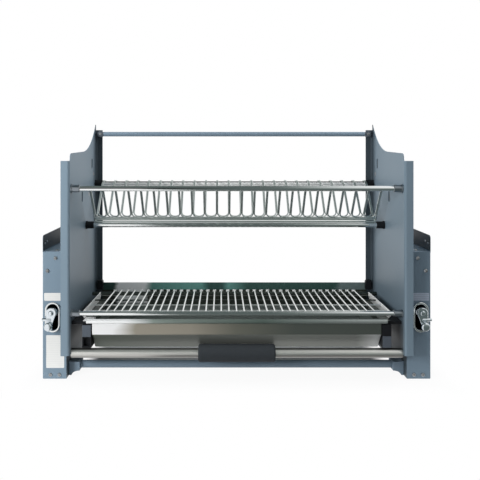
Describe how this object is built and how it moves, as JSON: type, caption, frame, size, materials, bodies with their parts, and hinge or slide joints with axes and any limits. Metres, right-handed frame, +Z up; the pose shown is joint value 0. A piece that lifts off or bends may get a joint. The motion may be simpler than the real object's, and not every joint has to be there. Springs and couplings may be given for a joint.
{
  "type": "pull down dish rack",
  "caption": "Two-tier dish rack on parallel swing arms between two mechanism boxes; it swings forward and down out of a wall cabinet.",
  "frame": {"origin": "centre of the bounding box's bottom, between the two mechanism boxes, on the cabinet floor", "axes": "+X to the right along the width, +Y to the back of the cabinet, +Z up"},
  "size_m": [0.864, 0.267, 0.58],
  "materials": {
    "grey_paint": "blue-grey powder coat",
    "dark_paint": "dark blue-grey powder coat",
    "chrome": "bright chrome plate",
    "stainless": "brushed stainless",
    "plain_steel": "zinc plated",
    "black_plastic": "moulded, fine grain",
    "grey_plastic": "moulded, fine grain",
    "foam": "closed-cell foam",
    "black_rubber": "matt rubber"
  },
  "bodies": {
    "boxes": {"mechanism_box_left": "grey_paint", "mechanism_box_right": "grey_paint", "inner_plate_left": "dark_paint", "inner_plate_right": "dark_paint", "shaft_bush_left": "plain_steel", "shaft_bush_right": "plain_steel", "arm_stop_left": "black_rubber", "arm_stop_right": "black_rubber", "bar_guide_left": "grey_plastic", "bar_guide_right": "grey_plastic", "lift_spring_left": "plain_steel", "lift_spring_right": "plain_steel", "spring_anchor_left": "plain_steel", "spring_anchor_right": "plain_steel", "slot_bezel_left": "chrome", "slot_bezel_right": "chrome", "foot_bracket_left": "black_plastic", "foot_bracket_right": "black_plastic", "lower_tie_tube": "grey_paint"},
    "main_arm_left": {"main_arm_left": "plain_steel", "main_shaft_left": "plain_steel", "toothed_sector_left": "plain_steel"},
    "main_arm_right": {"main_arm_right": "plain_steel", "main_shaft_right": "plain_steel", "toothed_sector_right": "plain_steel"},
    "guide_arm_left": {"guide_arm_left": "plain_steel"},
    "guide_arm_right": {"guide_arm_right": "plain_steel"},
    "toothed_bar_left": {"toothed_bar_left": "plain_steel"},
    "toothed_bar_right": {"toothed_bar_right": "plain_steel"},
    "crank_left": {"adjuster_crank_left": "chrome"},
    "crank_right": {"adjuster_crank_right": "chrome"},
    "basket": {"side_panel_left": "grey_paint", "side_panel_right": "grey_paint", "plate_front_socket_left": "grey_plastic", "plate_front_socket_right": "grey_plastic", "plate_rear_socket_left": "black_plastic", "plate_rear_socket_right": "black_plastic", "plate_lower_socket_left": "black_plastic", "plate_lower_socket_right": "black_plastic", "bowl_rail_socket_left": "grey_plastic", "bowl_rail_socket_right": "grey_plastic", "tie_boss_left": "black_plastic", "tie_boss_right": "black_plastic", "guard_fitting_left": "black_plastic", "guard_fitting_right": "black_plastic", "tray_hanger_left": "grey_plastic", "tray_hanger_right": "grey_plastic", "plate_front_tube": "chrome", "plate_rear_tube": "chrome", "plate_lower_tube": "chrome", "bowl_front_rail": "chrome", "bowl_rear_rail": "plain_steel", "plate_wires": "chrome", "tie_bar": "grey_paint", "guard_strip": "stainless", "drip_tray": "stainless", "handle_tube": "chrome", "handle_grip": "foam"},
    "bowl_rack": {"bowl_rack": "chrome"}
  },
  "joints": [
    {"name": "basket_lift", "type": "hinge", "parent": "boxes", "child": "main_arm_left", "pos_m": [-0.373, -0.0285, 0.112], "axis": [1, 0, 0], "range_deg": [0, 120]},
    {"name": "main_arm_right_turn", "type": "hinge", "parent": "boxes", "child": "main_arm_right", "pos_m": [0.373, -0.0285, 0.112], "axis": [1, 0, 0], "range_deg": [0, 120]},
    {"name": "guide_arm_left_turn", "type": "hinge", "parent": "boxes", "child": "guide_arm_left", "pos_m": [-0.373, 0.021, 0.1615], "axis": [1, 0, 0], "range_deg": [0, 120]},
    {"name": "guide_arm_right_turn", "type": "hinge", "parent": "boxes", "child": "guide_arm_right", "pos_m": [0.373, 0.021, 0.1615], "axis": [1, 0, 0], "range_deg": [0, 120]},
    {"name": "basket_level", "type": "hinge", "parent": "main_arm_left", "child": "basket", "pos_m": [-0.373, 0.04915, 0.40178], "axis": [1, 0, 0], "range_deg": [-120, 0]},
    {"name": "toothed_bar_left_slide", "type": "slide", "parent": "boxes", "child": "toothed_bar_left", "axis": [0, 0, -1], "range_m": [0, 0.0503], "deforming": ["lift_spring_left"]},
    {"name": "toothed_bar_right_slide", "type": "slide", "parent": "boxes", "child": "toothed_bar_right", "axis": [0, 0, -1], "range_m": [0, 0.0503], "deforming": ["lift_spring_right"]},
    {"name": "crank_left_turn", "type": "hinge", "parent": "boxes", "child": "crank_left", "pos_m": [-0.409, -0.1135, 0.1495], "axis": [0, -1, 0], "range_deg": [-10, 50]},
    {"name": "crank_right_turn", "type": "hinge", "parent": "boxes", "child": "crank_right", "pos_m": [0.409, -0.1135, 0.1495], "axis": [0, 1, 0], "range_deg": [-10, 50]},
    {"name": "bowl_rack_lift", "type": "slide", "parent": "basket", "child": "bowl_rack", "axis": [0, 0, 1], "range_m": [0, 0.12]}
  ],
  "couplings": [
    {"joint": "main_arm_right_turn", "follows": "basket_lift", "ratio": 1},
    {"joint": "guide_arm_left_turn", "follows": "basket_lift", "ratio": 1},
    {"joint": "guide_arm_right_turn", "follows": "basket_lift", "ratio": 1},
    {"joint": "basket_level", "follows": "basket_lift", "ratio": -1},
    {"joint": "toothed_bar_left_slide", "follows": "basket_lift", "m_per_rad": 0.024},
    {"joint": "toothed_bar_right_slide", "follows": "basket_lift", "m_per_rad": 0.024}
  ]
}
